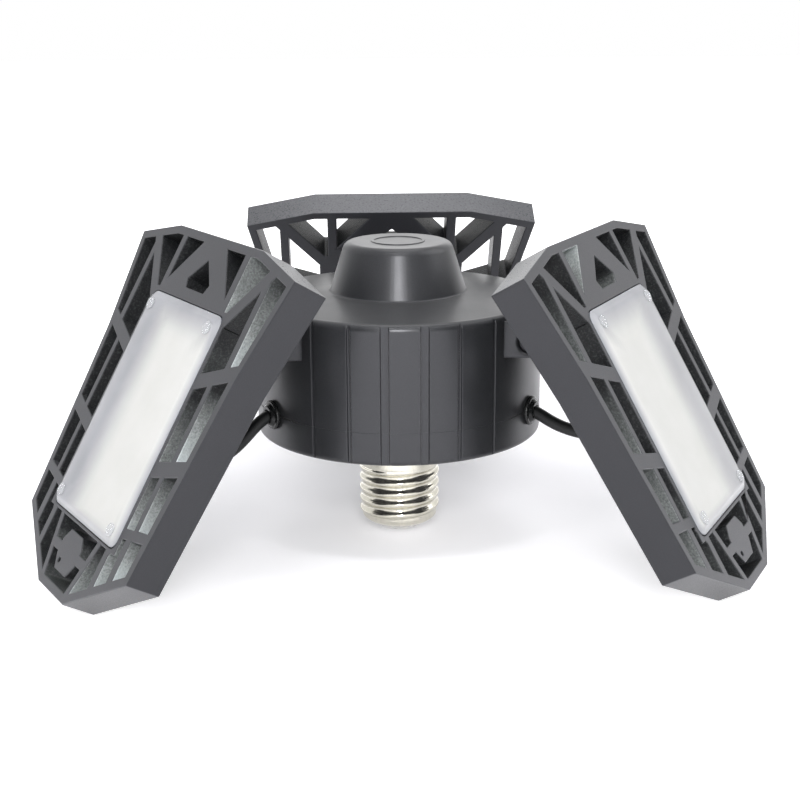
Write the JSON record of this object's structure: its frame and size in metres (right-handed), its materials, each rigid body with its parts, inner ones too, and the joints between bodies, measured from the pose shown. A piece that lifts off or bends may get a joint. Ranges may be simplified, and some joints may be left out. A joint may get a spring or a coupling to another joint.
{
  "type": "deformable garage light",
  "caption": "Screw-in garage light: a round ribbed body with a raised dome and hinged lattice-framed light panels that fold flat or droop.",
  "frame": {"origin": "centre of the screw shell's upper rim, on the lamp's axis", "axes": "+Z along the lamp's axis from the screw base to the dome; the back panel lies towards +Y, the other two 120 degrees round from it"},
  "size_m": [0.2316, 0.2092, 0.1034],
  "materials": {
    "housing_plastic": "satin moulded nylon with a fine grain",
    "zinc_screws": "zinc-plated steel",
    "nickel_shell": "bright nickel plate, rolled",
    "white_insulator": "glazed, smooth",
    "contact_metal": "plain tinned metal",
    "circuit_board": "solder mask over glass laminate",
    "driver_components": "wound and moulded electronic parts",
    "black_rubber": "matt moulded rubber",
    "lead_sheath": "smooth flexible sheath",
    "dark_steel": "blackened steel",
    "spring_steel": "plain spring steel",
    "panel_casting": "dark grey powder coat over die-cast aluminium",
    "arm_casting": "dark grey powder coat over die-cast aluminium",
    "led_board_white": "white solder mask over aluminium",
    "led_phosphor": "yellow phosphor",
    "frosted_lens": "frosted diffuser with clear bevels",
    "clear_studs": "clear moulded plastic"
  },
  "bodies": {
    "body": {"housing": "housing_plastic", "base_cover": "housing_plastic", "cover_screws": "zinc_screws", "screw_shell": "nickel_shell", "insulator": "white_insulator", "centre_contact": "contact_metal", "driver_board": "circuit_board", "driver_parts": "driver_components", "gland_back": "black_rubber", "gland_left": "black_rubber", "gland_right": "black_rubber", "lead_back": "lead_sheath", "lead_left": "lead_sheath", "lead_right": "lead_sheath", "hinge_bolt_back": "dark_steel", "hinge_bolt_left": "dark_steel", "hinge_bolt_right": "dark_steel", "hinge_nut_back": "dark_steel", "hinge_nut_left": "dark_steel", "hinge_nut_right": "dark_steel", "washers_back": "spring_steel", "washers_left": "spring_steel", "washers_right": "spring_steel"},
    "panel_back": {"frame_back": "panel_casting", "arm_back": "arm_casting", "arm_screws_back": "zinc_screws", "led_board_back": "led_board_white", "led_chips_back": "led_phosphor", "lens_back": "frosted_lens", "lens_studs_back": "clear_studs", "grommet_back": "black_rubber"},
    "panel_left": {"frame_left": "panel_casting", "arm_left": "arm_casting", "arm_screws_left": "zinc_screws", "led_board_left": "led_board_white", "led_chips_left": "led_phosphor", "lens_left": "frosted_lens", "lens_studs_left": "clear_studs", "grommet_left": "black_rubber"},
    "panel_right": {"frame_right": "panel_casting", "arm_right": "arm_casting", "arm_screws_right": "zinc_screws", "led_board_right": "led_board_white", "led_chips_right": "led_phosphor", "lens_right": "frosted_lens", "lens_studs_right": "clear_studs", "grommet_right": "black_rubber"}
  },
  "joints": [
    {"name": "hinge_back", "type": "hinge", "parent": "body", "child": "panel_back", "pos_m": [0, 0.0504, 0.0456], "axis": [-1, 0, 0], "range_deg": [-59.2, 30.8], "deforming": ["lead_back"]},
    {"name": "hinge_left", "type": "hinge", "parent": "body", "child": "panel_left", "pos_m": [-0.04365, -0.0252, 0.0456], "axis": [0.5, -0.866, 0], "range_deg": [-59.2, 30.8], "deforming": ["lead_left"]},
    {"name": "hinge_right", "type": "hinge", "parent": "body", "child": "panel_right", "pos_m": [0.04365, -0.0252, 0.0456], "axis": [0.5, 0.866, 0], "range_deg": [-59.2, 30.8], "deforming": ["lead_right"]}
  ]
}
